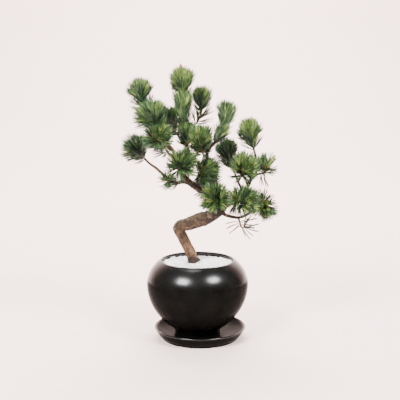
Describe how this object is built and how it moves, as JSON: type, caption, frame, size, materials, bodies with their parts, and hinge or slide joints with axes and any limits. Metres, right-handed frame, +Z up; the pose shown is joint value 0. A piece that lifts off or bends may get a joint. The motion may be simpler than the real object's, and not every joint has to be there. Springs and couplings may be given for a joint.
{
  "type": "japanese white pine bonsai",
  "caption": "Small pine trained with a bent trunk and brush-like tufts of needles, growing in a round black glazed pot with white gravel and a saucer.",
  "frame": {"origin": "centre of the saucer's flat underside, where it stands", "axes": "+Z up, +X to the right and +Y away from the viewer, as seen in the reference view"},
  "size_m": [0.198, 0.1312, 0.349],
  "materials": {
    "black_glaze": "satin black glaze",
    "white_gravel": "crushed white stone",
    "dark_soil": "damp granular soil",
    "bark": "rough brown bark",
    "pine_needles": "green needles on brown twigs"
  },
  "bodies": {
    "root": {"back_left_bough": "bark", "back_left_mass": "pine_needles", "back_low_bough": "bark", "back_low_mass": "pine_needles", "back_mid_bough": "bark", "back_mid_mass": "pine_needles", "centre_bough": "bark", "centre_left_bough": "bark", "centre_left_mass": "pine_needles", "centre_low_bough": "bark", "centre_low_mass": "pine_needles", "centre_mass": "pine_needles", "centre_up_bough": "bark", "centre_up_mass": "pine_needles", "far_left_bough": "bark", "far_left_lower_bough": "bark", "far_left_mass": "pine_needles", "far_right_bough": "bark", "far_right_mass": "pine_needles", "gravel": "white_gravel", "high_mid_bough": "bark", "high_mid_mass": "pine_needles", "high_right_bough": "bark", "high_right_mass": "pine_needles", "left_high_bough": "bark", "left_high_mass": "pine_needles", "left_low_mass": "pine_needles", "left_mid_bough": "bark", "left_mid_mass": "pine_needles", "low_left_bough": "bark", "low_left_mass": "pine_needles", "low_mid_bough": "bark", "low_mid_mass": "pine_needles", "low_right_bough": "bark", "low_right_mass": "pine_needles", "lower_mass": "pine_needles", "lower_spur": "bark", "mid_left_bough": "bark", "mid_left_mass": "pine_needles", "pot": "black_glaze", "right_back_bough": "bark", "right_back_mass": "pine_needles", "right_lower_bough": "bark", "right_mid_bough": "bark", "right_mid_mass": "pine_needles", "right_top_mass": "pine_needles", "right_upper_bough": "bark", "saucer": "black_glaze", "soil": "dark_soil", "top_leader": "bark", "top_low_bough": "bark", "top_low_mass": "pine_needles", "top_mass": "pine_needles", "trunk": "bark", "upper_left_bough": "bark", "upper_left_mass": "pine_needles"}
  },
  "joints": []
}
